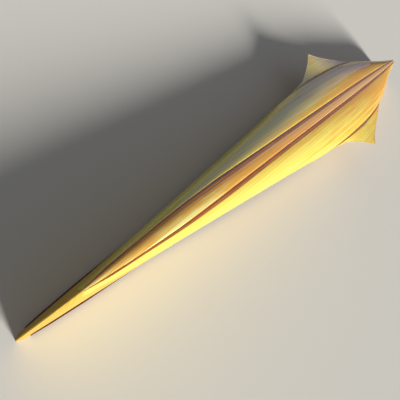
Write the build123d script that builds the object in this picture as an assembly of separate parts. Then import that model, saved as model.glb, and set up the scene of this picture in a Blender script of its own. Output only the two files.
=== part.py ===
from build123d import *
import math
import os
from collections import namedtuple

os.makedirs("parts", exist_ok=True)

# Racing canoe for two, strip planked, parked upside down on its gunwales.
# +X points to the bow and +Z up, with the keel on top. Millimetres.

# Hull
length_overall = 5640.0
beam_over_wings = 868.0
hull_depth = 376.0
plank_thickness = 6.0
accent_strip_width = 19.0
accent_tip_width = 7.0
glue_line = 0.3
stem_edge_share = 0.14

# Gunwales, decks and thwarts
gunwale_height = 22.0
outwale_thickness = 6.0
outwale_tip_thickness = 3.0
outwale_taper = 0.02
inwale_thickness = 12.0
deck_thickness = 5.0
bow_deck_length = 620.0
stern_deck_length = 520.0
deck_hollow = 45.0
thwart_end_width = 62.0
thwart_waist = 40.0
thwart_thickness = 16.0
fore_thwart_place = 0.4876
aft_thwart_place = 0.6649
fit_gap = 0.4

# Seats and their slides
bow_seat_place = 0.3812
stern_seat_place = 0.7447
bow_seat_height = 185.0
stern_seat_height = 175.0
bucket_length = 260.0
bucket_width = 268.0
bucket_depth = 46.0
bucket_corner = 62.0
bucket_corner_steps = 7
bucket_slope = 36.0
bucket_wall = 3.0
seat_plate = 3.0
plate_overhang = 26.0
sleeve_wall = 3.0
sleeve_length = 30.0
sleeve_spacing = 120.0
rail_spacing = 160.0
rail_width = 20.0
rail_height = 12.0
rail_length = 450.0
bar_width = 25.0
bar_height = 14.0
bar_spacing = 420.0
riser_length = 500.0
riser_height = 26.0
riser_thickness = 16.0
# Heights at which a riser meets the hull's side, as shares of its own height
riser_levels = (0.0, 0.5, 1.0)

# Foot braces
brace_distance = 850.0
brace_rail_length = 340.0
brace_rail_width = 20.0
brace_rail_height = 12.0
brace_post = 18.0
brace_tube = 22.0
brace_height = 90.0
brace_overhang = 26.0
bow_brace_breadth = 50.0
stern_brace_breadth = 90.0

# Slopes of the keel panel and of the dark strips beside it, at the bow and aft of its rounding
bow_crown_slope = 0.26
crown_slope = 0.085
bow_accent_slope = 0.55
accent_slope = 0.2
accent_share = 0.7
root_strip_width = 13.0
seam_turn_flare = 30.0
wing_inner_share = 0.7
root_strip_share = 0.5

# Least share of a plank's thickness kept by a mitre, and largest share of a strip given to a seam
mitre_limit = 0.3
seam_limit = 0.2
ridge_share = 0.4

# Straight strips that make up the rounded bilge and the hollow topside
bilge_strips = 5
topside_strips = 3

# Stations are counted in thousandths of the length
station_count = 1000

# Table of offsets. station is in thousandths of the length, aft from the bow tip,
# half breadths (_y) in thousandths of half the beam, heights (_z) in thousandths of
# the depth, up from the ground, and bulges in thousandths of the chord they round. The
# wing's tip stands out from the bilge by flare_out and below it by flare_drop.
Offsets = namedtuple(
    "Offsets",
    "station keel_z accent_y bilge_y bilge_z bilge_bulge "
    "flare_out flare_drop side_bulge sheer_y sheer_z sheer_lean",
)
table = [
    Offsets(10.6, 931, 6, 34, 864, 0, 0, 0, 0, 35, 0, 0),
    Offsets(26.6, 973, 19, 52, 856, 93, 0, 0, 3, 50, 0, 0),
    Offsets(62, 995, 42, 96, 830, 133, 0, 0, 7, 78, 0, 0),
    Offsets(142, 1000, 68, 182, 771, 170, 0, 0, 12, 130, 21, 30),
    Offsets(248, 984, 62, 295, 723, 180, 0, 0, 14, 246, 74, 80),
    Offsets(355, 965, 58, 412, 691, 164, 0, 0, 10, 356, 117, 120),
    Offsets(452, 947, 56, 521, 678, 142, 0, 0, 0, 438, 138, 180),
    Offsets(514, 934, 54, 548, 723, 116, 51, 53, -33, 470, 146, 220),
    Offsets(546, 928, 54, 555, 737, 107, 157, 67, -70, 482, 149, 240),
    Offsets(575, 923, 53, 558, 742, 104, 290, 74, -96, 488, 149, 250),
    Offsets(600, 918, 52, 558, 745, 98, 442, 80, -109, 493, 146, 250),
    Offsets(626, 910, 51, 555, 737, 98, 318, 77, -99, 493, 144, 250),
    Offsets(683, 894, 48, 537, 707, 105, 148, 61, -61, 470, 130, 220),
    Offsets(754, 872, 43, 488, 638, 121, 0, 0, -16, 410, 98, 140),
    Offsets(833, 838, 34, 304, 617, 156, 0, 0, 4, 272, 43, 60),
    Offsets(895, 801, 26, 147, 590, 159, 0, 0, 5, 129, 5, 20),
    Offsets(940, 734, 20, 74, 532, 79, 0, 0, 4, 65, 0, 0),
    Offsets(968, 628, 18, 44, 468, 50, 0, 0, 2, 39, 0, 0),
    Offsets(982, 532, 18, 32, 399, 0, 0, 0, 0, 30, 0, 0),
]
wing_station = 600
wing_start = 457
wing_end = 748
# Between these stations a dark strip widens from its tip to its full width
accent_taper = (62, 195)
# Between these stations the rounder bottom of the bow flattens
bow_rounding = (62, 301.5)
# Columns that turn sharply at the wing's tip
sharp_columns = ("flare_out", "flare_drop", "side_bulge")
# Stations where the lengths of planking butt against each other
butts = (62, 142, 248, 355, wing_start, 528, wing_station, 672, wing_end, 833, 895, 940)
# Longest step between stations, and the spans at the wing's narrow ends with more steps
longest_step = 65
fine_spans = (452, 683)
fine_steps = 3


def slopes(places, values):
    """Slopes of a fair curve through a column that never overshoots it."""
    steps = [(b - a) / (q - p) for a, b, p, q in zip(values, values[1:], places, places[1:])]
    inner = [2 * a * b / (a + b) if a * b > 0 else 0.0 for a, b in zip(steps, steps[1:])]
    return [steps[0], *inner, steps[-1]]


def faired(column, station):
    """Value of one column of the table at any station."""
    rows = table
    if column in sharp_columns:
        side = 1 if station <= wing_station else -1
        rows = [row for row in table if side * (wing_station - row.station) >= 0]
    places = [row.station for row in rows]
    values = [getattr(row, column) for row in rows]
    station = min(max(station, places[0]), places[-1])
    after = next(i for i, place in enumerate(places) if place >= station - 1e-9)
    if after == 0:
        return values[0]
    slope = slopes(places, values)
    width = places[after] - places[after - 1]
    t = (station - places[after - 1]) / width
    ends = (1 + 2 * t) * (1 - t) ** 2 * values[after - 1] + t * t * (3 - 2 * t) * values[after]
    bends = t * (1 - t) ** 2 * slope[after - 1] - t * t * (1 - t) * slope[after]
    return ends + bends * width


def offsets_at(station):
    """Row of the table at any station, in millimetres."""
    breadth = beam_over_wings / 2 / 1000
    height = hull_depth / 1000
    values = {name: faired(name, station) for name in Offsets._fields[1:]}
    for name in ("accent_y", "bilge_y", "flare_out", "sheer_y"):
        values[name] *= breadth
    for name in ("keel_z", "bilge_z", "flare_drop", "sheer_z"):
        values[name] *= height
    return Offsets(station, **values)


def station_of(distance):
    """Station of a distance aft of the bow tip."""
    return distance / length_overall * station_count


def place_x(station):
    return length_overall * (0.5 - station / station_count)


def unit(dy, dz):
    size = math.hypot(dy, dz)
    return dy / size, dz / size


def between(a, b, share):
    return a[0] + (b[0] - a[0]) * share, a[1] + (b[1] - a[1]) * share


def moved(corner, step):
    return corner[0] + step[0], corner[1] + step[1]


def beside_ridge(corner, step):
    """Corner moved by a step, but kept on its own side of the ridge where the hull is narrow."""
    return max(corner[0] + step[0], corner[0] * ridge_share), corner[1] + step[1]


def bulged(start, end, bulge, strips):
    """Corners of a round stretch from start to end, cut into straight strips."""
    if abs(bulge) < 1e-6:
        return [between(start, end, i / strips) for i in range(strips + 1)]
    chord = math.dist(start, end)
    turn = 2 * math.atan(2 * bulge)
    radius = chord / 2 / math.sin(turn)
    dy, dz = unit(end[0] - start[0], end[1] - start[1])
    corners = []
    for i in range(strips + 1):
        angle = (2 * i / strips - 1) * turn
        along = chord / 2 + radius * math.sin(angle)
        out = radius * (math.cos(angle) - math.cos(turn))
        corners.append((start[0] + dy * along - dz * out, start[1] + dz * along + dy * out))
    return corners


def inward(before, corner, after):
    """Step from an outer corner to the inner one, a plank's thickness from both faces."""
    ay, az = unit(corner[0] - before[0], corner[1] - before[1])
    by, bz = unit(after[0] - corner[0], after[1] - corner[1])
    ny, nz = unit(az + bz, -(ay + by))
    reach = plank_thickness / max(mitre_limit, ny * az - nz * ay)
    return ny * reach, nz * reach


def inner_line(before, corners, after):
    """Inner corners of a band whose neighbours carry on to before and after."""
    line = [before, *corners, after]
    return [moved(c, inward(a, c, b)) for a, c, b in zip(line, line[1:], line[2:])]


def seamed(outer, inner):
    """Corners of a band, drawn back half a glue line at both of its seams."""
    lines = []
    for line in (outer, inner):
        line = list(line)
        for end, beside in ((0, 1), (-1, -2)):
            share = min(glue_line / 2 / math.dist(line[end], line[beside]), seam_limit)
            line[end] = between(line[end], line[beside], share)
        lines.append(line)
    return lines


def eased(station, span, first, last):
    """Value that goes from first to last in a straight line over a span of stations."""
    share = min(1.0, max(0.0, (station - span[0]) / (span[1] - span[0])))
    return first + (last - first) * share


def accent_strip(station, inner_y):
    """Width of a dark strip, which tapers to the bow and where the keel panel is narrow."""
    width = eased(station, accent_taper, accent_tip_width, accent_strip_width)
    return min(width, inner_y * accent_share)


def hull_bands(station, aft=False):
    """Outer and inner corners of each band of half a section, from keel to sheer."""
    row = offsets_at(station)
    winged = wing_start < station < wing_end or station == (wing_start if aft else wing_end)
    keel = (0.0, row.keel_z)
    crown = eased(station, bow_rounding, bow_crown_slope, crown_slope)
    fall = eased(station, bow_rounding, bow_accent_slope, accent_slope)
    accent_in = (row.accent_y, row.keel_z - row.accent_y * crown)
    strip = accent_strip(station, row.accent_y)
    accent_out = (accent_in[0] + strip, accent_in[1] - strip * fall)
    bilge = (row.bilge_y, row.bilge_z)
    wing = (row.bilge_y + row.flare_out, row.bilge_z - row.flare_drop) if winged else bilge
    rise = unit(row.sheer_lean / 1000, 1.0)
    sheer = (row.sheer_y, row.sheer_z)
    ledge = moved(sheer, (rise[0] * gunwale_height, rise[1] * gunwale_height))
    foot = (sheer[0] - rise[0], sheer[1] - rise[1])
    belly = bulged(accent_out, bilge, row.bilge_bulge / 1000, bilge_strips)
    side = bulged(wing, ledge, row.side_bulge / 1000, topside_strips)
    belly_inner = inner_line(accent_in, belly, side[1])
    side_inner = inner_line(belly[-2], side, sheer)
    bands = {}
    if winged:
        flare = math.dist(bilge, wing)
        along = unit(wing[0] - bilge[0], wing[1] - bilge[1])
        square = (along[1], -along[0])
        root = between(bilge, wing, min(root_strip_width / flare, root_strip_share))
        width = math.dist(root, wing)
        # Where the flare is narrow the seams turn towards the plain mitre of bilge and side
        plain = inward(belly[-2], bilge, side[1])
        share = min(1.0, flare / seam_turn_flare)
        bilge_step = between(plain, inward(belly[-2], bilge, wing), share)
        root_step = between(plain, (square[0] * plank_thickness, square[1] * plank_thickness), share)
        tip = inward(root, wing, side[1])
        back = max(tip[0] * along[0] + tip[1] * along[1], -width * wing_inner_share)
        depth = tip[0] * square[0] + tip[1] * square[1]
        tip = (along[0] * back + square[0] * depth, along[1] * back + square[1] * depth)
        belly_inner[-1] = moved(bilge, bilge_step)
        side_inner[0] = moved(wing, between(plain, tip, share))
        bands["root"] = ([bilge, root], [belly_inner[-1], moved(root, root_step)])
        bands["wing"] = ([root, wing], [moved(root, root_step), side_inner[0]])
    accent_step = inward(keel, between(accent_in, accent_out, 0.5), belly[1])
    belly_inner[0] = beside_ridge(accent_out, accent_step)
    sheer_inner = moved(sheer, inward(ledge, sheer, foot))
    accent_in_inner = beside_ridge(accent_in, accent_step)
    bands["keel"] = ([keel, accent_in], [(0.0, row.keel_z - plank_thickness), accent_in_inner])
    bands["accent"] = ([accent_in, accent_out], [accent_in_inner, belly_inner[0]])
    bands["bilge"] = (belly, belly_inner)
    bands["topside"] = ([*side, sheer], [*side_inner, sheer_inner])
    bands["gunwale"] = ([ledge, sheer], [side_inner[-1], sheer_inner])
    return bands


def ring(x, corners):
    return Face(Wire.make_polygon([(x, y, z) for y, z in corners], close=True))


def all_stations():
    """Tabled stations and butts, with more between them where they lie far apart."""
    places = [row.station for row in table]
    stations = set(places) | set(butts)
    for a, b in zip(places, places[1:]):
        steps = fine_steps if a in fine_spans else math.ceil((b - a) / longest_step)
        stations.update(a + (b - a) * i / steps for i in range(1, steps))
    return sorted(stations)


frames = all_stations()
bow_end = frames[0]
stern_end = frames[-1]


def hull_stations(first, last):
    return [first, *[at for at in frames if first + 1e-6 < at < last - 1e-6], last]


def band_ring(band, station, aft, shift=0.0):
    outer, inner = seamed(*hull_bands(station, aft)[band])
    return ring(place_x(station) + shift, [*outer, *reversed(inner)])


def keel_ring(station, aft, shift=0.0):
    keel, inside = hull_bands(station, aft)["keel"]
    outer, inner = seamed(keel, inside)
    half = [keel[0], outer[1], inner[1], inside[0]]
    other = [(-y, z) for y, z in (inner[1], outer[1])]
    return ring(place_x(station) + shift, half + other)


def in_lengths(make_ring, first, last):
    """Planking from first to last as lengths that butt with a thin glue line."""
    marks = [first, *[mark for mark in butts if first < mark < last], last]
    lengths = []
    for a, b in zip(marks, marks[1:]):
        stations = hull_stations(a, b)
        rings = [make_ring(station, station < b) for station in stations]
        if b != last:
            rings[-1] = make_ring(b, False, glue_line)
        lengths.append(loft(rings, ruled=True))
    return lengths


def save(name, solids):
    whole = Compound(children=solids) if isinstance(solids, list) else solids
    export_step(whole, f"parts/{name}.step")


def both_sides(name, solids):
    pieces = solids if isinstance(solids, list) else [solids]
    save(name + "_port", [mirror(piece, about=Plane.XZ) for piece in pieces])
    save(name + "_starboard", pieces)


# Planking, band by band from the keel panel to the sheer
save("keel_panel", in_lengths(keel_ring, bow_end, stern_end))
for name, band, first, last in (
    ("accent_strip", "accent", bow_end, stern_end),
    ("bilge_planking", "bilge", bow_end, stern_end),
    ("wing_root_strip", "root", wing_start, wing_end),
    ("wing_planking", "wing", wing_start, wing_end),
    ("topside_planking", "topside", bow_end, stern_end),
):
    both_sides(name, in_lengths(
        lambda station, aft, shift=0.0, band=band: band_ring(band, station, aft, shift), first, last))


# Stems: solid ends that the planks land on, planed flat and narrowing to the cutwater
def stem_corners(station, end_station, breadth, height):
    bands = hull_bands(end_station)
    side = [bands["keel"][0][0], bands["bilge"][0][0], bands["bilge"][0][-1], bands["topside"][0][-1]]
    half = [(y * breadth, z * height) for y, z in side]
    x = place_x(station)
    return [(x, y, z) for y, z in half + [(-y, z) for y, z in reversed(half[1:])]]


def planed(rings):
    """Solid whose skin is flat facets between rings of corners."""
    faces = [Face(Wire.make_polygon(rings[end], close=True)) for end in (0, -1)]
    for before, after in zip(rings, rings[1:]):
        for i, corner in enumerate(before):
            j = (i + 1) % len(before)
            for facet in ((corner, before[j], after[j]), (corner, after[j], after[i])):
                faces.append(Face(Wire.make_polygon(facet, close=True)))
    return Solid(Shell(faces))


# Share of the way out to the end, then shares of breadth and of height there
bow_profile = [(1.0, stem_edge_share, 0.74), (0.86, 0.46, 0.84), (0.58, 0.7, 0.94), (0.0, 1.0, 1.0)]
stern_profile = [(0.0, 1.0, 1.0), (0.45, 0.78, 0.84), (0.8, 0.48, 0.58), (1.0, stem_edge_share, 0.3)]
for name, end, tip, profile in (
    ("bow", bow_end, 0, bow_profile),
    ("stern", stern_end, station_count, stern_profile),
):
    rings = [stem_corners(end + (tip - end) * out, end, wide, high) for out, wide, high in profile]
    save(f"stem_{name}", planed(rings))


# Gunwales: outwale all along the sheer, inwale between the decks
def outwale_ring(station, aft=False, shift=0.0):
    ledge, sheer = hull_bands(station)["gunwale"][0]
    end_distance = min(station - bow_end, stern_end - station) * length_overall / station_count
    thick = min(outwale_thickness, outwale_tip_thickness + end_distance * outwale_taper)
    return ring(place_x(station) + shift, [
        (sheer[0] + glue_line, sheer[1]), (ledge[0] + glue_line, ledge[1]),
        (ledge[0] + thick, ledge[1]), (sheer[0] + thick, sheer[1])])


def inwale_ring(station, aft=False, shift=0.0):
    ledge, sheer = hull_bands(station)["gunwale"][1]
    return ring(place_x(station) + shift, [
        (sheer[0] - glue_line, sheer[1]), (ledge[0] - glue_line, ledge[1]),
        (ledge[0] - inwale_thickness, ledge[1]), (sheer[0] - inwale_thickness, sheer[1])])


bow_deck_end = station_of(bow_deck_length)
stern_deck_start = station_count - station_of(stern_deck_length)
both_sides("outwale", in_lengths(outwale_ring, bow_end, stern_end))
both_sides("inwale", in_lengths(inwale_ring, bow_deck_end, stern_deck_start))


# Decks: thin plates between the planks at each end, hollowed at the open edge
def deck(name, first, last, edge, turn):
    """Plate with the sheer's outline from above and the sheer's curve from the side."""
    places = [(place_x(at), *hull_bands(at)["gunwale"][1][1]) for at in hull_stations(first, last)]
    side = [(x, y - glue_line, 0) for x, y, z in places]
    other = [(x, -y, z) for x, y, z in reversed(side)]
    outline = extrude(Face(Wire.make_polygon(side + other, close=True)), hull_depth, dir=(0, 0, 1))
    low = [(x, 0, z) for x, y, z in places]
    high = [(x, y, z + deck_thickness) for x, y, z in reversed(low)]
    curve = Face(Wire.make_polygon(low + high, close=True))
    plate = outline & extrude(curve, beam_over_wings, dir=(0, 1, 0), both=True)
    half = hull_bands(edge)["gunwale"][1][1][0]
    radius = (half * half + deck_hollow * deck_hollow) / (2 * deck_hollow)
    centre = place_x(edge) - turn * (radius - deck_hollow)
    save(name, plate - Pos(centre, 0, 0) * Cylinder(radius, hull_depth))


deck("deck_bow", bow_end, bow_deck_end, bow_deck_end, 1)
deck("deck_stern", stern_deck_start, stern_end, stern_deck_start, -1)


# Thwarts across the inwales, narrowed at the waist
def thwart(name, place):
    station = place * station_count
    reach_by = station_of(thwart_end_width / 2)
    edges = [hull_bands(at)["gunwale"][1][0] for at in (station - reach_by, station + reach_by)]
    height = max(edge[1] for edge in edges)
    reach = min(edge[0] for edge in edges) - fit_gap
    wide = thwart_end_width / 2
    waist = thwart_waist / 2
    outline = [
        ThreePointArc((wide, -reach), (waist, 0), (wide, reach)),
        Line((wide, reach), (-wide, reach)),
        ThreePointArc((-wide, reach), (-waist, 0), (-wide, -reach)),
        Line((-wide, -reach), (wide, -reach)),
    ]
    plank = extrude(Face(Wire(outline)), thwart_thickness)
    save(name, Pos(place_x(station), 0, height) * plank)


thwart("thwart_fore", fore_thwart_place)
thwart("thwart_aft", aft_thwart_place)


def lining(station, aft, bands, axis, value):
    """Point on the inside of some bands where its breadth (axis 0) or height (axis 1) is value."""
    sections = hull_bands(station, aft)
    inner = [corner for band in bands for corner in sections[band][1]]
    for a, b in zip(inner, inner[1:]):
        if a != b and min(a[axis], b[axis]) <= value <= max(a[axis], b[axis]):
            return between(a, b, (value - a[axis]) / (b[axis] - a[axis]))
    return inner[-1] if abs(value - inner[-1][axis]) < abs(value - inner[0][axis]) else inner[0]


def nearby(station, measure):
    """A measure of the planking at a station, taken straight between the stations it is built on."""
    before = max(at for at in frames if at <= station)
    after = min(at for at in frames if at >= station)
    if before == after:
        return measure(before)
    low, high = measure(before), measure(after)
    return low + (high - low) * (station - before) / (after - before)


def side_y(station, height):
    sides = (True, False)
    return nearby(station, lambda at: min(lining(at, aft, ["topside"], 1, height)[0] for aft in sides))


def floor_z(station, breadth):
    return nearby(station, lambda at: lining(at, False, ["keel", "accent", "bilge"], 0, breadth)[1])


def strip_along(first, last, make_ring):
    """Strip that follows the planking between two distances from the bow tip."""
    ends = (station_of(first), station_of(last))
    return loft([make_ring(at) for at in hull_stations(*ends)], ruled=True)


# Seats: a moulded bucket on sleeves that slide along two rails
def bucket_outline(inset):
    """The bucket's outline drawn in by an inset, with its round corners cut into short sides."""
    radius = bucket_corner - inset
    corners = []
    for quarter, (sign_x, sign_y) in enumerate(((1, 1), (-1, 1), (-1, -1), (1, -1))):
        middle = (sign_x * (bucket_length / 2 - bucket_corner), sign_y * (bucket_width / 2 - bucket_corner))
        for i in range(bucket_corner_steps + 1):
            angle = math.pi / 2 * (quarter + i / bucket_corner_steps)
            corners.append((middle[0] + radius * math.cos(angle), middle[1] + radius * math.sin(angle), 0))
    return Face(Wire.make_polygon(corners, close=True))


def dish(wall):
    """Solid of the bucket's outside, or of its hollow when a wall is given."""
    return extrude(bucket_outline(wall), bucket_depth - wall, dir=(0, 0, 1), taper=bucket_slope)


def seat(name, place, height_under_keel):
    centre = place * length_overall
    x = length_overall / 2 - centre
    base_z = offsets_at(place * station_count).keel_z - height_under_keel
    rail_low = base_z + seat_plate + sleeve_wall + fit_gap
    rail_high = rail_low + rail_height
    bar_top = rail_high + bar_height
    sleeve_height = rail_height + 2 * fit_gap + 2 * sleeve_wall
    rim_z = base_z - bucket_depth

    save(f"seat_bucket_{name}", Pos(x, 0, rim_z) * (dish(0.0) - dish(bucket_wall)))

    brackets = []
    for end in (-1, 1):
        at = x + end * sleeve_spacing / 2
        bracket = Pos(at, 0, base_z + seat_plate / 2) * Box(
            sleeve_length, rail_spacing + rail_width + 2 * plate_overhang, seat_plate)
        for turn in (-1, 1):
            sleeve = Box(sleeve_length, rail_width + 2 * fit_gap + 2 * sleeve_wall, sleeve_height)
            hole = Box(sleeve_length, rail_width + 2 * fit_gap, rail_height + 2 * fit_gap)
            middle = base_z + seat_plate + sleeve_height / 2
            bracket = bracket + Pos(at, turn * rail_spacing / 2, middle) * (sleeve - hole)
        brackets.append(bracket)
    save(f"seat_sleeves_{name}", brackets)

    rail = Pos(x, rail_spacing / 2, (rail_low + rail_high) / 2) * Box(rail_length, rail_width, rail_height)
    both_sides(f"seat_rail_{name}", rail)

    def riser_ring(at):
        heights = [bar_top + riser_height * level for level in riser_levels]
        face = [(side_y(at, height) - fit_gap, height) for height in heights]
        return ring(place_x(at), [*face, *[(y - riser_thickness, z) for y, z in reversed(face)]])

    both_sides(f"seat_riser_{name}",
               strip_along(centre - riser_length / 2, centre + riser_length / 2, riser_ring))

    for end, word in ((-1, "fore"), (1, "aft")):
        middle = centre + end * bar_spacing / 2
        edges = [station_of(middle + part * bar_width / 2) for part in (-1, 1)]
        reach = min(side_y(edge, rail_high) for edge in edges) - 2 * fit_gap
        bar = Box(bar_width, 2 * reach, bar_height)
        save(f"seat_bar_{name}_{word}", Pos(length_overall / 2 - middle, 0, (rail_high + bar_top) / 2) * bar)


seat("bow", bow_seat_place, bow_seat_height)
seat("stern", stern_seat_place, stern_seat_height)


# Foot braces: a tube on two posts that stand on strips along the floor
def foot_brace(name, seat_place, breadth):
    centre = seat_place * length_overall - brace_distance
    x = length_overall / 2 - centre
    near = breadth - brace_rail_width / 2
    far = breadth + brace_rail_width / 2

    def rail_ring(at):
        near_z = floor_z(at, near) - fit_gap
        far_z = floor_z(at, far) - fit_gap
        return ring(place_x(at), [(near, near_z), (far, far_z), (far, far_z - brace_rail_height),
                                  (near, far_z - brace_rail_height)])

    both_sides(f"brace_rail_{name}",
               strip_along(centre - brace_rail_length / 2, centre + brace_rail_length / 2, rail_ring))
    foot = min(floor_z(station_of(centre + end * brace_post / 2), far) for end in (-1, 1))
    foot = foot - fit_gap - brace_rail_height
    tube_z = foot - brace_height
    brace = Pos(x, 0, tube_z) * Rot(90, 0, 0) * Cylinder(brace_tube / 2, 2 * (breadth + brace_overhang))
    for turn in (-1, 1):
        post = Box(brace_post, brace_post, foot - tube_z)
        brace = brace + Pos(x, turn * breadth, (foot + tube_z) / 2) * post
    save(f"foot_brace_{name}", brace)


foot_brace("bow", bow_seat_place, bow_brace_breadth)
foot_brace("stern", stern_seat_place, stern_brace_breadth)
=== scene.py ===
# %% [markdown]
# A racing canoe for two paddlers, planked in thin strips of cedar and varnished, lies upside
# down on its gunwales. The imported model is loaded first, as a fixed frame. Every piece made
# below stands where the frame has it, and rides on one of its three bodies: the hull and the
# two seats that slide.

# %% Load the frame
import math
from collections import namedtuple

import bmesh
import bpy
from mathutils import Matrix, Vector


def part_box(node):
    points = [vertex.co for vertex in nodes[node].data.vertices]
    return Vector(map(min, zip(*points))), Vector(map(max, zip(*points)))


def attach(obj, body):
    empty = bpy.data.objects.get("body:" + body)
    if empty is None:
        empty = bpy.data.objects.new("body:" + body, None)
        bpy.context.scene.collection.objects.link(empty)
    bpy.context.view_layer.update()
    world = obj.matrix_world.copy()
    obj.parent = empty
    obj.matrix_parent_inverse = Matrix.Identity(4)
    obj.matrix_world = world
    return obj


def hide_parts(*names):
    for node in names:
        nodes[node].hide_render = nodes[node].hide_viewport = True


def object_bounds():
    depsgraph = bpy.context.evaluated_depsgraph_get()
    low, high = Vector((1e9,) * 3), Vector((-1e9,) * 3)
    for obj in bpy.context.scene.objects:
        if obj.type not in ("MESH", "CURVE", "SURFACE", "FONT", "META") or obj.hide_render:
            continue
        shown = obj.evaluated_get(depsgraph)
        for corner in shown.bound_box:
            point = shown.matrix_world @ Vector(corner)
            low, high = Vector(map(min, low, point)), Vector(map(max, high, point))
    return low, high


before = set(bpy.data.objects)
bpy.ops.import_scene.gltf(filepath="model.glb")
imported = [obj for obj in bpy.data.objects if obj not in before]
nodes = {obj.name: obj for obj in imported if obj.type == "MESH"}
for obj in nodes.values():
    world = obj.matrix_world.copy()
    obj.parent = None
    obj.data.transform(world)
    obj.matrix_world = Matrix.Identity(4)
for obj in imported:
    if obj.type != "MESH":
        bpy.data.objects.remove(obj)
cad_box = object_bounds()
print(len(nodes), "nodes, box", [[round(v, 3) for v in corner] for corner in cad_box])

# %% [markdown]
# The camera stands a little ahead of the bow, at a standing person's eye height, and looks
# down along the hull. It is turned on its own axis, so that the canoe runs from the lower
# left to the upper right. It is set by its three axes, because that keeps the height, the
# distance and the three angles as plain numbers that can be changed one at a time.

# %% Camera
camera_ahead = 1.29
camera_height = 1.83
camera_down = math.radians(34.3)
camera_roll = math.radians(53.5)
camera_turn = math.radians(0.305)
frame_pixels = 400
focal_pixels = 620

bow_x = cad_box[1][0]
look = Vector((-math.cos(camera_down), 0, -math.sin(camera_down)))
away = Vector((-math.sin(camera_down), 0, math.cos(camera_down)))
side = Vector((0, 1, 0))
look, side = (look * math.cos(camera_turn) - side * math.sin(camera_turn),
              side * math.cos(camera_turn) + look * math.sin(camera_turn))
right = away * math.sin(camera_roll) + side * math.cos(camera_roll)
up = away * math.cos(camera_roll) - side * math.sin(camera_roll)

camera = bpy.data.objects.new("camera", bpy.data.cameras.new("camera"))
bpy.context.scene.collection.objects.link(camera)
camera.matrix_world = (Matrix.Translation((bow_x + camera_ahead, 0, camera_height))
                       @ Matrix((right, up, -look)).transposed().to_4x4())
camera.data.angle = 2 * math.atan(frame_pixels / 2 / focal_pixels)
camera.data.clip_end = 1000
bpy.context.scene.camera = camera
print("camera at", [round(v, 2) for v in camera.location],
      "angle", round(math.degrees(camera.data.angle), 1))

# %% [markdown]
# The canoe rests on a plain pale floor under soft studio light. A warm sun lamp with a wide
# disc stands low to starboard and gives the varnish its glow on that side, at the same
# strength from bow to stern. The world adds a weak even light, so that no side goes black.
# Varnish shows what stands round it, so the world is brighter to glossy rays and darkens
# towards the horizon, and a cool panel off the port quarter is there for the mirror alone.
# The floor is pale to the eye and in the varnish, but the light that it throws back on the
# canoe is that of a darker floor, so that it doesn't fill the shaded side.

# %% Floor and lamps
canoe_middle = Vector((0, 0, 0.2))
backdrop_light = 0.85
fill_light = 0.17
mirrored_horizon, mirrored_sky = 0.1, 0.58
mirrored_rise = 0.28
floor_reach = 200
floor_gap = 0.0005


def colour(text):
    """sRGB hex as linear red, green, blue and alpha."""
    parts = [int(text[i:i + 2], 16) / 255 for i in (1, 3, 5)]
    return [c / 12.92 if c <= 0.04045 else ((c + 0.055) / 1.055) ** 2.4 for c in parts] + [1.0]


def add_node(tree, kind, inputs=None, stops=(), **settings):
    """A node with its settings, its colour stops, and its sockets set or linked."""
    node = tree.nodes.new(kind)
    for name, value in settings.items():
        setattr(node, name, value)
    for i, (place, text) in enumerate(stops):
        elements = node.color_ramp.elements
        element = elements[i] if i < len(elements) else elements.new(place)
        element.position = place
        element.color = colour(text)
    for socket, value in (inputs or {}).items():
        if isinstance(value, bpy.types.NodeSocket):
            tree.links.new(value, node.inputs[socket])
        else:
            node.inputs[socket].default_value = value
    return node


def new_material(name):
    """An empty node tree with its output."""
    material = bpy.data.materials.new(name)
    material.use_nodes = True
    material.node_tree.nodes.clear()
    output = add_node(material.node_tree, "ShaderNodeOutputMaterial")
    return material, material.node_tree, output


def lamp(name, kind, place, energy, hex_colour, mirror_only=False, **settings):
    """A lamp at a place, turned to face the middle of the canoe."""
    data = bpy.data.lights.new(name, kind)
    data.energy = energy
    data.color = colour(hex_colour)[:3]
    for setting, value in settings.items():
        setattr(data, setting, value)
    item = bpy.data.objects.new(name, data)
    item.location = place
    item.rotation_euler = (canoe_middle - Vector(place)).to_track_quat("-Z", "Y").to_euler()
    item.visible_diffuse = not mirror_only
    bpy.context.scene.collection.objects.link(item)


lamp("starboard_sun", "SUN", (0.8, 5.0, 2.5), 3.9, "#FFFBF2", angle=math.radians(22))
lamp("port_quarter_panel", "AREA", (-9.0, -4.4, 3.2), 130, "#7CA4EC", mirror_only=True,
     shape="RECTANGLE", size=7.0, size_y=6.0)

world = bpy.data.worlds.new("studio")
world.use_nodes = True
tree = world.node_tree
tree.nodes.clear()
around = add_node(tree, "ShaderNodeTexCoord").outputs["Generated"]
height = add_node(tree, "ShaderNodeSeparateXYZ", {0: around}).outputs["Z"]
sky = add_node(tree, "ShaderNodeMapRange", {
    "Value": height, "From Min": 0.0, "From Max": mirrored_rise,
    "To Min": mirrored_horizon, "To Max": mirrored_sky}).outputs[0]
path = add_node(tree, "ShaderNodeLightPath")
mirrored = add_node(tree, "ShaderNodeMix",
                    {0: path.outputs["Is Glossy Ray"], 2: fill_light, 3: sky}).outputs[0]
clear = add_node(tree, "ShaderNodeMath",
                 {0: path.outputs["Is Camera Ray"], 1: path.outputs["Is Transmission Ray"]},
                 operation="MAXIMUM").outputs[0]
strength = add_node(tree, "ShaderNodeMix", {0: clear, 2: mirrored, 3: backdrop_light}).outputs[0]
background = add_node(tree, "ShaderNodeBackground", {"Color": colour("#E6E8EA"), "Strength": strength})
tree.links.new(background.outputs[0], add_node(tree, "ShaderNodeOutputWorld").inputs["Surface"])
bpy.context.scene.world = world
bpy.context.scene.view_settings.view_transform = "Standard"

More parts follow.
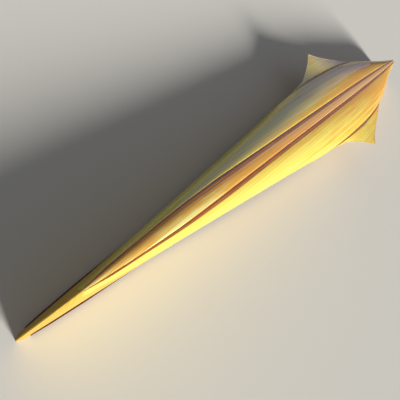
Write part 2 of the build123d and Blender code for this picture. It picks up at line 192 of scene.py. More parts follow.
floor_material, tree, output = new_material("pale_floor")
path = add_node(tree, "ShaderNodeLightPath")
shown = path.outputs["Is Camera Ray"]
for ray in ("Is Glossy Ray", "Is Transmission Ray"):
    shown = add_node(tree, "ShaderNodeMath", {0: shown, 1: path.outputs[ray]},
                     operation="MAXIMUM").outputs[0]
floor_tone = add_node(tree, "ShaderNodeMix", {0: shown, 6: colour("#7C766A"), 7: colour("#F2F1EE")},
                      data_type="RGBA").outputs[2]
floor_shader = add_node(tree, "ShaderNodeBsdfPrincipled",
                        {"Base Color": floor_tone, "Roughness": 0.9, "Specular IOR Level": 0.2})
tree.links.new(floor_shader.outputs[0], output.inputs["Surface"])
floor_mesh = bpy.data.meshes.new("floor")
bm = bmesh.new()
bmesh.ops.create_grid(bm, x_segments=1, y_segments=1, size=floor_reach)
bmesh.ops.translate(bm, verts=bm.verts, vec=(0, 0, -floor_gap))
bm.to_mesh(floor_mesh)
bm.free()
floor = bpy.data.objects.new("floor", floor_mesh)
floor.data.materials.append(floor_material)
bpy.context.scene.collection.objects.link(floor)
print("floor and", len(bpy.data.lights), "lamps")

# %% [markdown]
# A builder draws a hull as a table of offsets: at each station, how far out and how high the
# keel, the bilge, the wing's tip and the sheer lie. The same table, in thousandths of the
# length, half beam and depth, gives every plank here. Between stations a curve that never
# overshoots keeps the lines fair, and only the wing's tip may turn sharply.

# %% Table of offsets
length = cad_box[1][0] - cad_box[0][0]
half_beam = cad_box[1][1]
depth = cad_box[1][2]
plank = 0.006
gunwale = 0.022

Offsets = namedtuple(
    "Offsets",
    "station keel_z accent_y bilge_y bilge_z bilge_bulge flare_out flare_drop side_bulge"
    " sheer_y sheer_z sheer_lean",
)
table = [
    Offsets(10.6, 931, 6, 34, 864, 0, 0, 0, 0, 35, 0, 0),
    Offsets(26.6, 973, 19, 52, 856, 93, 0, 0, 3, 50, 0, 0),
    Offsets(62, 995, 42, 96, 830, 133, 0, 0, 7, 78, 0, 0),
    Offsets(142, 1000, 68, 182, 771, 170, 0, 0, 12, 130, 21, 30),
    Offsets(248, 984, 62, 295, 723, 180, 0, 0, 14, 246, 74, 80),
    Offsets(355, 965, 58, 412, 691, 164, 0, 0, 10, 356, 117, 120),
    Offsets(452, 947, 56, 521, 678, 142, 0, 0, 0, 438, 138, 180),
    Offsets(514, 934, 54, 548, 723, 116, 51, 53, -33, 470, 146, 220),
    Offsets(546, 928, 54, 555, 737, 107, 157, 67, -70, 482, 149, 240),
    Offsets(575, 923, 53, 558, 742, 104, 290, 74, -96, 488, 149, 250),
    Offsets(600, 918, 52, 558, 745, 98, 442, 80, -109, 493, 146, 250),
    Offsets(626, 910, 51, 555, 737, 98, 318, 77, -99, 493, 144, 250),
    Offsets(683, 894, 48, 537, 707, 105, 148, 61, -61, 470, 130, 220),
    Offsets(754, 872, 43, 488, 638, 121, 0, 0, -16, 410, 98, 140),
    Offsets(833, 838, 34, 304, 617, 156, 0, 0, 4, 272, 43, 60),
    Offsets(895, 801, 26, 147, 590, 159, 0, 0, 5, 129, 5, 20),
    Offsets(940, 734, 20, 74, 532, 79, 0, 0, 4, 65, 0, 0),
    Offsets(968, 628, 18, 44, 468, 50, 0, 0, 2, 39, 0, 0),
    Offsets(982, 532, 18, 32, 399, 0, 0, 0, 0, 30, 0, 0),
]
bow_end, stern_end = table[0].station, table[-1].station
wing_start, wing_tip, wing_end = 457, 600, 748
sharp_columns = ("flare_out", "flare_drop", "side_bulge")


def faired(column, station):
    """Value of one column at any station, on a curve that never overshoots."""
    rows = table
    if column in sharp_columns and station <= wing_tip:
        rows = [r for r in table if r.station <= wing_tip]
    elif column in sharp_columns:
        rows = [r for r in table if r.station >= wing_tip]
    places = [r.station for r in rows]
    values = [getattr(r, column) for r in rows]
    steps = [(b - a) / (q - p) for a, b, p, q in zip(values, values[1:], places, places[1:])]
    inner = [2 * a * b / (a + b) if a * b > 0 else 0.0 for a, b in zip(steps, steps[1:])]
    slope = [steps[0], *inner, steps[-1]]
    i = max(1, next(i for i, place in enumerate(places) if place >= station - 1e-9))
    width = places[i] - places[i - 1]
    t = (station - places[i - 1]) / width
    return ((1 + 2 * t) * (1 - t) ** 2 * values[i - 1] + t * t * (3 - 2 * t) * values[i]
            + (t * (1 - t) ** 2 * slope[i - 1] - t * t * (1 - t) * slope[i]) * width)


def station_x(station):
    return length * (0.5 - station / 1000)


print("bow end", round(station_x(bow_end), 3), "wing tip", round(station_x(wing_tip), 3),
      "stern end", round(station_x(stern_end), 3))

# %% [markdown]
# A section through the hull is a few stretches: the flat keel panel, the dark strip beside
# it, the rounded bilge, the wing, and the topside that runs in to the gunwale. Each stretch
# is a function of the station that returns evenly spaced points, so that a grid of any
# fineness can be laid on it. The rounded stretches are true arcs, and the flat keel panel
# has the small crown of a sanded plank.

# %% Section lines
accent_width = 0.019
accent_tip_width = 0.007
accent_taper = (62, 195)
accent_share = 0.7
bow_rounding = (62, 301.5)
bow_accent_slope, accent_slope = 0.55, 0.2
bow_crown_slope, crown_slope = 0.26, 0.085
root_width = 0.013
accent_bulge = 0.01
edge_points = 12


def between(a, b, share):
    return Vector((a[0] + (b[0] - a[0]) * share, a[1] + (b[1] - a[1]) * share))


def arc(a, b, bulge, count):
    """Points from a to b on an arc whose middle stands off the chord by bulge times its length."""
    if abs(bulge) < 1e-5:
        return [between(a, b, i / count) for i in range(count + 1)]
    chord = (b - a).length
    turn = 2 * math.atan(2 * bulge)
    radius = chord / 2 / math.sin(turn)
    along = (b - a) / chord
    out = Vector((-along[1], along[0]))
    points = []
    for i in range(count + 1):
        angle = (2 * i / count - 1) * turn
        points.append(a + along * (chord / 2 + radius * math.sin(angle))
                      + out * radius * (math.cos(angle) - math.cos(turn)))
    return points


def along_bow(station, span, first, last):
    """A value that goes from first to last in a straight line over a span of stations."""
    share = min(1.0, max(0.0, (station - span[0]) / (span[1] - span[0])))
    return first + (last - first) * share


def section(station):
    """Named corners of half a section, as (y, z)."""
    value = {name: faired(name, station) / 1000 for name in Offsets._fields[1:]}
    keel_z = value["keel_z"] * depth
    accent_y = value["accent_y"] * half_beam
    strip = min(along_bow(station, accent_taper, accent_tip_width, accent_width), accent_y * accent_share)
    crown = along_bow(station, bow_rounding, bow_crown_slope, crown_slope)
    fall = along_bow(station, bow_rounding, bow_accent_slope, accent_slope)
    accent_in = Vector((accent_y, keel_z - accent_y * crown))
    accent_out = accent_in + Vector((strip, -strip * fall))
    bilge = Vector((value["bilge_y"] * half_beam, value["bilge_z"] * depth))
    wing = bilge + Vector((value["flare_out"] * half_beam, -value["flare_drop"] * depth))
    sheer = Vector((value["sheer_y"] * half_beam, value["sheer_z"] * depth))
    lean = Vector((value["sheer_lean"], 1)).normalized()
    flare = (wing - bilge).length
    root = between(bilge, wing, min(root_width / flare, 0.5) if flare > 1e-6 else 0)
    return {"keel": Vector((0, keel_z)), "accent_in": accent_in, "accent_out": accent_out, "bilge": bilge,
            "root": root, "wing": wing, "ledge": sheer + lean * gunwale, "sheer": sheer, "lean": lean,
            "belly_bulge": value["bilge_bulge"], "side_bulge": value["side_bulge"]}


def edge_wedge(station):
    """The direction from the wing's tip back into the hull, and half the angle of the edge."""
    s = section(station)
    if (s["wing"] - s["bilge"]).length < 1e-4:
        return Vector((-1, 0)), math.pi / 2
    above = (s["root"] - s["wing"]).normalized()
    below = (arc(s["wing"], s["ledge"], s["side_bulge"], edge_points)[1] - s["wing"]).normalized()
    return (above + below).normalized(), above.angle(below) / 2


def stretch(band, station, count):
    """Points across one band of the planking, from the keel side to the sheer side."""
    s = section(station)
    if band == "keel":
        points = []
        for i in range(count + 1):
            y = s["accent_in"][0] * (2 * i / count - 1)
            drop = (s["keel"][1] - s["accent_in"][1]) * (y / s["accent_in"][0]) ** 2
            points.append(Vector((y, s["keel"][1] - drop)))
        return points
    if band == "accent":
        return arc(s["accent_in"], s["accent_out"], accent_bulge, count)
    if band == "bilge":
        return arc(s["accent_out"], s["bilge"], s["belly_bulge"], count)
    if band == "root":
        return arc(s["bilge"], s["root"], 0, count)
    if band == "wing":
        return arc(s["root"], s["wing"], 0, count)
    return arc(s["wing"], s["ledge"], s["side_bulge"], count - 2) + [
        between(s["ledge"], s["sheer"], 0.5), s["sheer"]]


print("half breadth at the wing tip", round(section(wing_tip)["wing"][0], 3))

# %% [markdown]
# Varnished cedar is what the eye meets first. The strips are bead and cove planks about
# 19 mm wide, edge glued, sanded fair and sealed in clear epoxy and varnish, so the colour
# changes from strip to strip and drifts along each one, the grain runs in fine streaks, and
# a thin darker line marks each glue seam. The pattern follows the piece's own UV map, which
# holds metres along the hull and metres round it. A clear coat gives the gloss, and a faint
# unevenness in the coat's normal bends the reflections as hand-sanded varnish does.

# %% Varnished cedar strips
strip_width = 0.019
seam_share, seam_dark = 0.07, 0.62
middle_blend = 0.295
tone_share, drift_share, grain_share = 0.06, 0.16, 0.18
thick_coat = 0.4


def strip_planks(name, stops, gloss, glare_to_bow=0.02, sunlit_from_keel=0.0, seed=0.0):
    """Edge-glued strips of wood on a UV map in metres, u along the strips and v across them."""
    material, tree, output = new_material(name)
    uv = add_node(tree, "ShaderNodeUVMap", uv_map="strips").outputs["UV"]
    parts = add_node(tree, "ShaderNodeSeparateXYZ", {0: uv})
    along, across = parts.outputs["X"], parts.outputs["Y"]
    count = add_node(tree, "ShaderNodeMath", {0: across, 1: 1 / strip_width},
                     operation="MULTIPLY").outputs[0]
    number = add_node(tree, "ShaderNodeMath", {0: count}, operation="FLOOR").outputs[0]
    place = add_node(tree, "ShaderNodeMath", {0: count}, operation="FRACT").outputs[0]
    own = add_node(tree, "ShaderNodeMath", {0: number, 1: seed}, operation="ADD").outputs[0]
    # Tone of each strip, and its slow drift along the length
    tone = add_node(tree, "ShaderNodeTexWhiteNoise", {"W": own}, noise_dimensions="1D").outputs["Value"]
    drift_place = add_node(tree, "ShaderNodeCombineXYZ", {"X": along, "Y": own})
    drift = add_node(tree, "ShaderNodeTexNoise", {
        "Vector": drift_place.outputs[0], "Scale": 1.7, "Detail": 3.0, "Roughness": 0.55}).outputs["Fac"]
    # Grain: streaks about 5 mm wide and 400 mm long, and finer ones over them
    grain_place = add_node(tree, "ShaderNodeCombineXYZ", {
        "X": add_node(tree, "ShaderNodeMath", {0: along, 1: 2.4}, operation="MULTIPLY").outputs[0],
        "Y": add_node(tree, "ShaderNodeMath", {0: across, 1: 190.0}, operation="MULTIPLY").outputs[0],
        "Z": own})
    grain = add_node(tree, "ShaderNodeTexNoise", {
        "Vector": grain_place.outputs[0], "Scale": 1.0, "Detail": 5.0, "Roughness": 0.62,
        "Distortion": 0.35}).outputs["Fac"]
    # Yellower towards the bow and away from the keel, and redder towards the stern. This is painted light
    # over the wood's own drift: the sun's glare near the bow and the sunlit flank are painted in as paler,
    # yellower wood, and the stern, turned from the light, as redder wood.
    blend = add_node(tree, "ShaderNodeMath", {0: along, 1: glare_to_bow, 2: middle_blend},
                     operation="MULTIPLY_ADD").outputs[0]
    away = add_node(tree, "ShaderNodeMapRange", {
        "Value": across, "From Max": 0.2, "To Min": -sunlit_from_keel, "To Max": sunlit_from_keel}).outputs[0]
    blend = add_node(tree, "ShaderNodeMath", {0: blend, 1: away}, operation="ADD").outputs[0]
    for pattern, share in ((tone, tone_share), (drift, drift_share), (grain, grain_share)):
        blend = add_node(tree, "ShaderNodeMath", {0: pattern, 1: share, 2: blend},
                         operation="MULTIPLY_ADD").outputs[0]
    wood = add_node(tree, "ShaderNodeValToRGB", {"Fac": blend}, stops=stops).outputs["Color"]
    # The glue seam, drawn a little wider than it is so that it shows
    edge = add_node(tree, "ShaderNodeMath", {0: place, 1: 0.5}, operation="SUBTRACT").outputs[0]
    edge = add_node(tree, "ShaderNodeMath", {0: edge}, operation="ABSOLUTE").outputs[0]
    edge = add_node(tree, "ShaderNodeMapRange", {
        "Value": edge, "From Min": 0.5 - seam_share, "From Max": 0.5, "To Min": 1.0, "To Max": seam_dark},
        interpolation_type="SMOOTHSTEP").outputs[0]
    shade = add_node(tree, "ShaderNodeVectorMath", {0: wood, "Scale": edge}, operation="SCALE").outputs[0]
    bump = add_node(tree, "ShaderNodeBump", {"Height": grain, "Strength": 0.12, "Distance": 0.0006})
    rough = add_node(tree, "ShaderNodeMapRange", {"Value": grain, "To Min": 0.34, "To Max": 0.5})
    shader = add_node(tree, "ShaderNodeBsdfPrincipled", {
        "Base Color": shade, "Roughness": rough.outputs[0], "Normal": bump.outputs[0],
        "Specular IOR Level": 0.0, "Coat Weight": gloss,
        "Coat Roughness": 0.07 if gloss > thick_coat else 0.2, "Coat IOR": 1.5})
    if gloss > thick_coat:
        wave_place = add_node(tree, "ShaderNodeTexCoord").outputs["Object"]
        wave = add_node(tree, "ShaderNodeTexNoise", {"Vector": wave_place, "Scale": 9.0, "Detail": 1.0})
        coat = add_node(tree, "ShaderNodeBump",
                        {"Height": wave.outputs["Fac"], "Strength": 0.2, "Distance": 0.004})
        tree.links.new(coat.outputs[0], shader.inputs["Coat Normal"])
    tree.links.new(shader.outputs[0], output.inputs["Surface"])
    return material


# The golden cedar's palest, yellowest stops are painted light: the sunlit flank and the glare near the bow.
golden_cedar = strip_planks("varnished_golden_cedar", [
    (0.33, "#FACA5A"), (0.41, "#F9B650"), (0.45, "#FBBE50"), (0.49, "#FDDA5E"), (0.55, "#FEF072")], 0.5,
    glare_to_bow=0.05, sunlit_from_keel=0.04, seed=11.0)
amber_cedar = strip_planks("varnished_amber_cedar", [
    (0.37, "#E09C40"), (0.43, "#EAAE48"), (0.49, "#F2C452"), (0.56, "#F8D45E")], 0.3,
    glare_to_bow=0.03, seed=73.0)
# The red cedar's top stop, a pale lemon near white, is a painted highlight: the sun's glare on the keel
# panel near the bow.
keel_cedar = strip_planks("varnished_red_cedar", [
    (0.44, "#FFC88A"), (0.53, "#FFC076"), (0.59, "#F9B04C"), (0.62, "#FBC45A"), (0.645, "#FFF49C")], 0.5,
    glare_to_bow=0.06, seed=41.0)
cedar_lining = strip_planks("sealed_cedar_lining", [
    (0.34, "#A87040"), (0.44, "#BC864E"), (0.52, "#C8955A"), (0.62, "#D4A66E")], 0.25, seed=17.0)
print("four strip woods")

# %% [markdown]
# The darker strips beside the keel panel and at the roots of the wings are walnut, let in
# between the cedar, and the gunwales are mahogany. The stems are cedar. The pale edging of the
# wings is a painted highlight: its light colour stands for the glint along the wing's edge.
# Decks, thwarts, risers and the strips under the foot braces are ash. All of them are solid
# wood, so one recipe serves: long grain along the piece, pores as short dark flecks, and a
# clear coat. The walnut strips and the stems follow their own UV map, and all the others use
# Object coordinates in metres.

# %% Solid woods
def solid_wood(name, stops, gloss, on_uv=False, across_boat=False, fleck=0.25):
    """Solid wood with long grain along X, or along Y where the piece lies across the boat."""
    material, tree, output = new_material(name)
    if on_uv:
        place = add_node(tree, "ShaderNodeUVMap", uv_map="strips").outputs["UV"]
    else:
        place = add_node(tree, "ShaderNodeTexCoord").outputs["Object"]
    long_scale = (130.0, 3.0, 130.0) if across_boat else (3.0, 130.0, 130.0)
    stretched = add_node(tree, "ShaderNodeMapping", {"Vector": place, "Scale": long_scale}).outputs[0]
    grain = add_node(tree, "ShaderNodeTexNoise",
                     {"Vector": stretched, "Scale": 1.0, "Detail": 6.0, "Roughness": 0.6, "Distortion": 0.5})
    pore_scale = (900.0, 22.0, 900.0) if across_boat else (22.0, 900.0, 900.0)
    pore_place = add_node(tree, "ShaderNodeMapping", {"Vector": place, "Scale": pore_scale}).outputs[0]
    pores = add_node(tree, "ShaderNodeTexNoise", {"Vector": pore_place, "Scale": 1.0, "Detail": 2.0})
    wood = add_node(tree, "ShaderNodeValToRGB", {"Fac": grain.outputs["Fac"]}, stops=stops).outputs["Color"]
    fine = add_node(tree, "ShaderNodeMapRange", {
        "Value": pores.outputs["Fac"], "From Min": 0.3, "From Max": 0.5,
        "To Min": 1.0 - fleck, "To Max": 1.0}).outputs[0]
    shade = add_node(tree, "ShaderNodeVectorMath", {0: wood, "Scale": fine}, operation="SCALE").outputs[0]
    bump = add_node(tree, "ShaderNodeBump",
                    {"Height": grain.outputs["Fac"], "Strength": 0.15, "Distance": 0.0005})
    shader = add_node(tree, "ShaderNodeBsdfPrincipled", {
        "Base Color": shade, "Roughness": 0.42, "Normal": bump.outputs[0], "Specular IOR Level": 0.0,
        "Coat Weight": gloss, "Coat Roughness": 0.1, "Coat IOR": 1.5})
    tree.links.new(shader.outputs[0], output.inputs["Surface"])
    return material


walnut = solid_wood("varnished_walnut_strip", [
    (0.30, "#8A4216"), (0.48, "#A65822"), (0.62, "#BA6A2E"), (0.80, "#C87A3A")], 0.6, on_uv=True)
mahogany = solid_wood("oiled_mahogany", [
    (0.30, "#54200F"), (0.48, "#702D18"), (0.62, "#853A20"), (0.80, "#9A4C2C")], 0.3)
stem_cedar = solid_wood("varnished_cedar_stem", [
    (0.30, "#ECB650"), (0.48, "#F4C858"), (0.62, "#F9D462"), (0.80, "#FCDE6C")], 0.3, on_uv=True, fleck=0.1)
ash_tones = [(0.30, "#A07A4C"), (0.48, "#BE9866"), (0.62, "#CDAA7A"), (0.80, "#DCC093")]
ash_along = solid_wood("varnished_ash_lengthwise", ash_tones, 0.6)
ash_across = solid_wood("varnished_ash_crosswise", ash_tones, 0.6, across_boat=True)
# The pale edging, printed below as basswood, is a painted highlight: its light colour stands for the glint
# along the wing's edge.
edging_painted_highlight = solid_wood("pale_edging_painted_highlight", [
    (0.30, "#D8C4A0"), (0.48, "#E4D4B4"), (0.62, "#ECDEC2"), (0.80, "#F2E6CE")], 0.6, fleck=0.1)
print("walnut, mahogany, stem cedar, ash and basswood")

# %% [markdown]
# The seats are moulded in laminate, dark and smooth, and they slide on drawn aluminium. The
# laminate shows the fine cross weave of its cloth under a clear resin. The aluminium is
# satin, with faint lines along the draw. Screws are plain stainless steel.

# %% Laminate and metals
laminate, tree, output = new_material("moulded_laminate")
place = add_node(tree, "ShaderNodeTexCoord").outputs["Object"]
turned = add_node(tree, "ShaderNodeMapping",
                  {"Vector": place, "Rotation": (0, 0, math.radians(45))}).outputs[0]
# The cloth's tows are 2 mm wide, drawn as 4 mm so that they show
weave = add_node(tree, "ShaderNodeTexChecker", {
    "Vector": turned, "Scale": 250.0, "Color1": colour("#1B1C1F"), "Color2": colour("#2C2E33")})
shader = add_node(tree, "ShaderNodeBsdfPrincipled", {
    "Base Color": weave.outputs["Color"], "Roughness": 0.4, "Coat Weight": 0.8, "Coat Roughness": 0.12})
tree.links.new(shader.outputs[0], output.inputs["Surface"])

aluminium, tree, output = new_material("satin_drawn_aluminium")
place = add_node(tree, "ShaderNodeTexCoord").outputs["Object"]
drawn = add_node(tree, "ShaderNodeMapping", {"Vector": place, "Scale": (8.0, 900.0, 900.0)}).outputs[0]
lines = add_node(tree, "ShaderNodeTexNoise", {"Vector": drawn, "Scale": 1.0, "Detail": 3.0})
rough = add_node(tree, "ShaderNodeMapRange",
                 {"Value": lines.outputs["Fac"], "To Min": 0.26, "To Max": 0.42})
tone = add_node(tree, "ShaderNodeValToRGB", {"Fac": lines.outputs["Fac"]},
                stops=[(0.3, "#A9ABAE"), (0.7, "#C6C8CA")])
shader = add_node(tree, "ShaderNodeBsdfPrincipled", {
    "Base Color": tone.outputs["Color"], "Metallic": 1.0, "Roughness": rough.outputs[0]})
tree.links.new(shader.outputs[0], output.inputs["Surface"])

steel, tree, output = new_material("stainless_steel_screw")
place = add_node(tree, "ShaderNodeTexCoord").outputs["Object"]
turning = add_node(tree, "ShaderNodeTexNoise", {"Vector": place, "Scale": 1200.0, "Detail": 2.0})
rough = add_node(tree, "ShaderNodeMapRange",
                 {"Value": turning.outputs["Fac"], "To Min": 0.2, "To Max": 0.36})
shader = add_node(tree, "ShaderNodeBsdfPrincipled", {
    "Base Color": colour("#B9BABD"), "Metallic": 1.0, "Roughness": rough.outputs[0]})
tree.links.new(shader.outputs[0], output.inputs["Surface"])
print("laminate, aluminium and steel")

# %% [markdown]
# The planking is laid band by band. A flat grid is the simplest start for a surface that
# runs along the boat: each of its points is carried to a place on the hull by its row and
# its column. Its UV map is written at the same time, in metres, measured from the edge that
# the real strips run parallel to. The grid is one skin thick, and a Solidify modifier gives
# it the real plank's 6 mm inwards, with the unvarnished lining as its second material. At
# the wing's sharp edge two planks share a narrow wedge, so both are planed thinner there: a
# vertex group holds the share of the thickness that is left.

# %% Planked pieces
row_step = 3.0
least_thickness = 0.03
thin_edge, square_edge = math.radians(60), math.radians(90)
wing_strips_start = 0.19


def stations_along(first, last, step):
    """Evenly spaced stations, with one exactly at the wing's tip."""
    marks = [first, wing_tip, last] if first < wing_tip < last else [first, last]
    stations = [first]
    for a, b in zip(marks, marks[1:]):
        count = max(1, round((b - a) / step))
        stations += [a + (b - a) * (i + 1) / count for i in range(count)]
    return stations


def finish_piece(name, bm, materials, body, replaced):
    """Turns a bmesh into a piece that rides on a body and stands for its nodes."""
    mesh = bpy.data.meshes.new(name)
    bm.to_mesh(mesh)
    bm.free()
    for material in materials:
        mesh.materials.append(material)
    for face in mesh.polygons:
        face.use_smooth = True
    piece = bpy.data.objects.new(name, mesh)
    bpy.context.scene.collection.objects.link(piece)
    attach(piece, body)
    if replaced:
        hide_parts(*replaced)
    return piece


def left_thickness(station, reach):
    """Share of a plank's thickness left at a distance from the wing's edge."""
    half = edge_wedge(station)[1]
    square = min(1.0, max(0.0, (2 * half - thin_edge) / (square_edge - thin_edge)))
    return max(square, min(1.0, least_thickness + reach * math.tan(half) / plank))


def lay_band(name, band, first, last, count, hand, node, outer, from_sheer=False, begin=0.0,
             planed=""):
    """A band of planking on one side: hand is 1 to starboard and -1 to port."""
    stations = stations_along(first, last, row_step)
    rows = len(stations) - 1
    bm = bmesh.new()
    bmesh.ops.create_grid(bm, x_segments=rows, y_segments=count, size=0.5)
    lines = [stretch(band, station, count) for station in stations]
    marks = []
    reaches = []
    for line in lines:
        run = [begin]
        for a, b in zip(line, line[1:]):
            run.append(run[-1] + (b - a).length)
        marks.append([run[-1] - r for r in run] if from_sheer else run)
        reaches.append([run[-1] - r for r in run] if planed == "outer_edge" else run)
    spot = {}
    left = bm.verts.layers.deform.verify() if planed else None
    for vert in bm.verts:
        i = round((vert.co.x + 0.5) * rows)
        j = round((vert.co.y + 0.5) * count)
        y, z = lines[i][j]
        spot[vert] = (station_x(stations[i]), marks[i][j])
        if planed:
            vert[left][0] = left_thickness(stations[i], reaches[i][j])
        vert.co = (station_x(stations[i]), y * hand, z)
    uv = bm.loops.layers.uv.new("strips")
    for face in bm.faces:
        for loop in face.loops:
            loop[uv].uv = spot[loop.vert]
    bm.normal_update()
    outwards = 0.0
    for face in bm.faces:
        centre = face.calc_center_median()
        outwards += face.normal.dot(centre - Vector((centre.x, 0, depth * 0.4)))
    if outwards < 0:
        bmesh.ops.reverse_faces(bm, faces=bm.faces)
    piece = finish_piece(name, bm, [outer, cedar_lining], "hull", [node])
    solid = piece.modifiers.new("plank_thickness", "SOLIDIFY")
    solid.thickness = plank
    solid.offset = -1
    solid.use_even_offset = True
    solid.material_offset = 1
    solid.material_offset_rim = 0
    if planed:
        solid.vertex_group = piece.vertex_groups.new(name="thickness_left").name


hands = (("port", -1), ("starboard", 1))
lay_band("keel_planking", "keel", bow_end, stern_end, 8, 1, "keel_panel", keel_cedar)
for word, hand in hands:
    lay_band(f"walnut_line_{word}", "accent", bow_end, stern_end, 2, hand, f"accent_strip_{word}",
             walnut)
    lay_band(f"bilge_strips_{word}", "bilge", bow_end, stern_end, 22, hand, f"bilge_planking_{word}",
             golden_cedar)
    lay_band(f"topside_strips_{word}", "topside", bow_end, stern_end, 20, hand, f"topside_planking_{word}",
             amber_cedar, from_sheer=True, planed="inner_edge")
    lay_band(f"wing_root_line_{word}", "root", wing_start, wing_end, 2, hand, f"wing_root_strip_{word}",
             walnut)
    lay_band(f"wing_strips_{word}", "wing", wing_start, wing_end, 14, hand, f"wing_planking_{word}",
             golden_cedar, begin=wing_strips_start, planed="outer_edge")

# %% [markdown]
# A pale round rod caps the wing's edge. Its light colour is a painted highlight: it stands
# for the glint along that edge, and its roundness catches the lamp there as well. A curve with
# a round bevel is the plain way to a rod that follows a line: its points run along the edge,
# set in by a little more than the rod's radius.

# %% Edging of the wings, a painted highlight
edging_radius = 0.0028
edging_inset = 1.2
edging_step = 4.0
for word, hand in hands:
    curve = bpy.data.curves.new(f"wing_edge_painted_highlight_{word}", "CURVE")
    curve.dimensions = "3D"
    curve.bevel_depth = edging_radius
    curve.bevel_resolution = 3
    curve.use_fill_caps = True
    curve.materials.append(edging_painted_highlight)
    stations = stations_along(wing_start, wing_end, edging_step)
    line = curve.splines.new("POLY")
    line.points.add(len(stations) - 1)
    for point, station in zip(line.points, stations):
        y, z = section(station)["wing"] + edge_wedge(station)[0] * edging_radius * edging_inset
        point.co = (station_x(station), y * hand, z, 1)
    edging = bpy.data.objects.new(curve.name, curve)
    bpy.context.scene.collection.objects.link(edging)
    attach(edging, "hull")
print("edging along", round(station_x(wing_start) - station_x(wing_end), 2), "m of each wing")

# %% [markdown]
# At each end the planks land on a solid stem, bent and planed to a fair curve that narrows
# to the cutwater. A grid wrapped round the hull's end section makes it: its rings are set
# closer and closer towards the tip, so that the profile turns into the upright edge without
# a corner. The grain follows the bent wood, so the map runs up and down the stem.

# %% Stems
cutwater_share = 0.14
narrowing = 0.8
stem_rings = 16


def ease_edges(piece, width, angle, segments=2, harden=True):
    """A Bevel modifier on every edge sharper than the angle."""
    ease = piece.modifiers.new("eased_edges", "BEVEL")
    ease.width = width
    ease.segments = segments
    ease.limit_method = "ANGLE"
    ease.angle_limit = math.radians(angle)
    ease.harden_normals = harden


def round_stem(end, station, tip, edge_height, fullness):
    """The solid end of the hull, from its last section out to the tip."""
    half = [*stretch("keel", station, 4)[2:], *stretch("accent", station, 1)[1:],
            *stretch("bilge", station, 3)[1:], *stretch("topside", station, 6)[1:]]
    outline = half + [Vector((-y, z)) for y, z in reversed(half)]
    around = len(outline) - 1
    bm = bmesh.new()
    bmesh.ops.create_grid(bm, x_segments=stem_rings, y_segments=around, size=0.5)
    for vert in bm.verts:
        out = math.sin((vert.co.x + 0.5) * math.pi / 2)
        y, z = outline[round((vert.co.y + 0.5) * around)]
        inner = max(0.0, 1 - out * out)
        vert.co = (station_x(station + (tip - station) * out),
                   y * (cutwater_share + (1 - cutwater_share) * inner ** narrowing),
                   z * (edge_height + (1 - edge_height) * inner ** fullness))
    bmesh.ops.remove_doubles(bm, verts=bm.verts, dist=1e-6)
    bmesh.ops.holes_fill(bm, edges=[edge for edge in bm.edges if edge.is_boundary])
    bmesh.ops.recalc_face_normals(bm, faces=bm.faces)
    uv = bm.loops.layers.uv.new("strips")
    for face in bm.faces:
        for loop in face.loops:
            loop[uv].uv = (loop.vert.co.z, loop.vert.co.x)
    piece = finish_piece(f"bent_stem_{end}", bm, [stem_cedar], "hull", [f"stem_{end}"])
    ease_edges(piece, 0.0012, 40)
    print(f"stem at the {end}:", [round(v, 3) for v in piece.dimensions])


round_stem("bow", bow_end, 0, 0.74, 0.65)
round_stem("stern", stern_end, 1000, 0.3, 0.85)

# %% [markdown]
# Most of the fittings are already the right shape in the frame, but their edges are knife
# sharp. A real rail or thwart has its arrises eased, and that thin highlight is what makes
# it look solid. The simplest way is to copy the node's mesh, merge its loose triangles,
# melt the flat ones together, and let a Bevel modifier ease each edge.

# %% Pieces with eased edges
sharp_corner = 28


def eased(node, radius, material, body, segments=3):
    """Copy of a node with its edges rounded, standing in the node's place."""
    bm = bmesh.new()
    bm.from_mesh(nodes[node].data)
    bmesh.ops.remove_doubles(bm, verts=bm.verts, dist=1e-5)
    bmesh.ops.dissolve_limit(bm, angle_limit=math.radians(0.6), verts=bm.verts, edges=bm.edges)
    piece = finish_piece(node + "_eased", bm, [material], body, [node])
    ease_edges(piece, radius, sharp_corner, segments)


for word in ("port", "starboard"):
    eased(f"outwale_{word}", 0.0022, mahogany, "hull")
    eased(f"inwale_{word}", 0.003, mahogany, "hull")
for end in ("bow", "stern"):
    eased(f"deck_{end}", 0.0015, ash_along, "hull")
    eased(f"seat_sleeves_{end}", 0.0012, aluminium, f"{end}_seat")
    eased(f"foot_brace_{end}", 0.0012, aluminium, "hull")
    for word in ("port", "starboard"):
        eased(f"seat_rail_{end}_{word}", 0.0015, aluminium, "hull")
        eased(f"seat_riser_{end}_{word}", 0.003, ash_along, "hull")
        eased(f"brace_rail_{end}_{word}", 0.002, ash_along, "hull")
    for part in ("fore", "aft"):
        eased(f"seat_bar_{end}_{part}", 0.0015, aluminium, "hull")
for part in ("fore", "aft"):
    eased(f"thwart_{part}", 0.005, ash_across, "hull", segments=4)
print("fittings eased")

# %% [markdown]
# A bucket seat is a shallow moulded dish with a rolled rim. Here it opens downwards, because
# the boat is upside down. It starts as a rectangle with its corners rounded by a bevel of
# its four points. Each inset then draws the outline in and pushes it up, which follows the
# dish's profile: rim, rolled edge, sloping wall, rounded foot and flat base.

# %% Bucket seats
seat_corner = 0.062
seat_wall = 0.003
rim_roll = 0.005


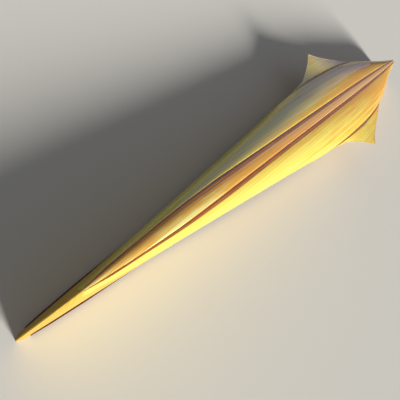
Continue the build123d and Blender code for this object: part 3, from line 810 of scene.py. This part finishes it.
def bucket(end):
    """The moulded dish of one seat."""
    low, high = (Vector(corner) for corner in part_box(f"seat_bucket_{end}"))
    centre = (low + high) / 2
    bm = bmesh.new()
    bmesh.ops.create_grid(bm, x_segments=1, y_segments=1, size=0.5)
    bmesh.ops.scale(bm, verts=bm.verts, vec=(high.x - low.x, high.y - low.y, 1))
    bmesh.ops.bevel(bm, geom=bm.verts[:], offset=seat_corner, offset_type="OFFSET", segments=10,
                    profile=0.5, affect="VERTICES", material=-1)
    bmesh.ops.translate(bm, verts=bm.verts, vec=(centre.x, centre.y, low.z + rim_roll))
    bm.faces.ensure_lookup_table()
    if bm.faces[0].normal.z < 0:
        bmesh.ops.reverse_faces(bm, faces=bm.faces)
    face = bm.faces[0]
    base = high.z - low.z - rim_roll
    # Distance in from the outline, and height above the rim
    profile = ((0.001, -0.003), (0.004, -rim_roll), (0.009, -0.004), (0.013, 0.0), (0.021, 0.011),
               (0.029, 0.024), (0.035, 0.033), (0.041, 0.0385), (0.049, base), (0.056, base))
    before = (0.0, 0.0)
    for inset, height in profile:
        bmesh.ops.inset_region(bm, faces=[face], thickness=inset - before[0], depth=height - before[1],
                               use_even_offset=True, use_boundary=True)
        before = (inset, height)
    bmesh.ops.solidify(bm, geom=bm.faces[:], thickness=seat_wall)
    bmesh.ops.recalc_face_normals(bm, faces=bm.faces)
    piece = finish_piece(f"moulded_bucket_{end}", bm, [laminate], f"{end}_seat", [f"seat_bucket_{end}"])
    print(f"bucket {end}:", [round(v, 3) for v in piece.dimensions])


for end in ("bow", "stern"):
    bucket(end)

# %% [markdown]
# Screws hold the fittings together. Each head is a low dome: a disc, pushed out once and
# eased round its edge. All heads of one kind are one piece, because each is a few dozen
# faces and there are many.

# %% Screw heads
screw_inset = 0.014
screw_apart = 0.016


def screw_heads(name, places, radius):
    """Dome-headed screws that point up at the places, on a piece of the hull."""
    bm = bmesh.new()
    for x, y, z in places:
        made = bmesh.ops.create_cone(bm, cap_ends=True, segments=14, radius1=radius,
                                     radius2=radius * 0.62, depth=radius * 0.5)
        bmesh.ops.translate(bm, verts=made["verts"], vec=(x, y, z + radius * 0.2))
    piece = finish_piece(name, bm, [steel], "hull", [])
    ease_edges(piece, radius * 0.2, sharp_corner, harden=False)


for part in ("fore", "aft"):
    low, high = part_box(f"thwart_{part}")
    x = (low[0] + high[0]) / 2
    y = high[1] - screw_inset
    screw_heads(f"thwart_screws_{part}",
                [(x + dx, sign * y, high[2]) for dx in (-screw_apart, screw_apart) for sign in (-1, 1)],
                0.0045)
for end in ("bow", "stern"):
    rail_low, rail_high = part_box(f"seat_rail_{end}_starboard")
    y = (rail_low[1] + rail_high[1]) / 2
    places = []
    for part in ("fore", "aft"):
        low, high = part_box(f"seat_bar_{end}_{part}")
        places += [((low[0] + high[0]) / 2, sign * y, high[2]) for sign in (-1, 1)]
    screw_heads(f"rail_screws_{end}", places, 0.004)
print("screws placed")
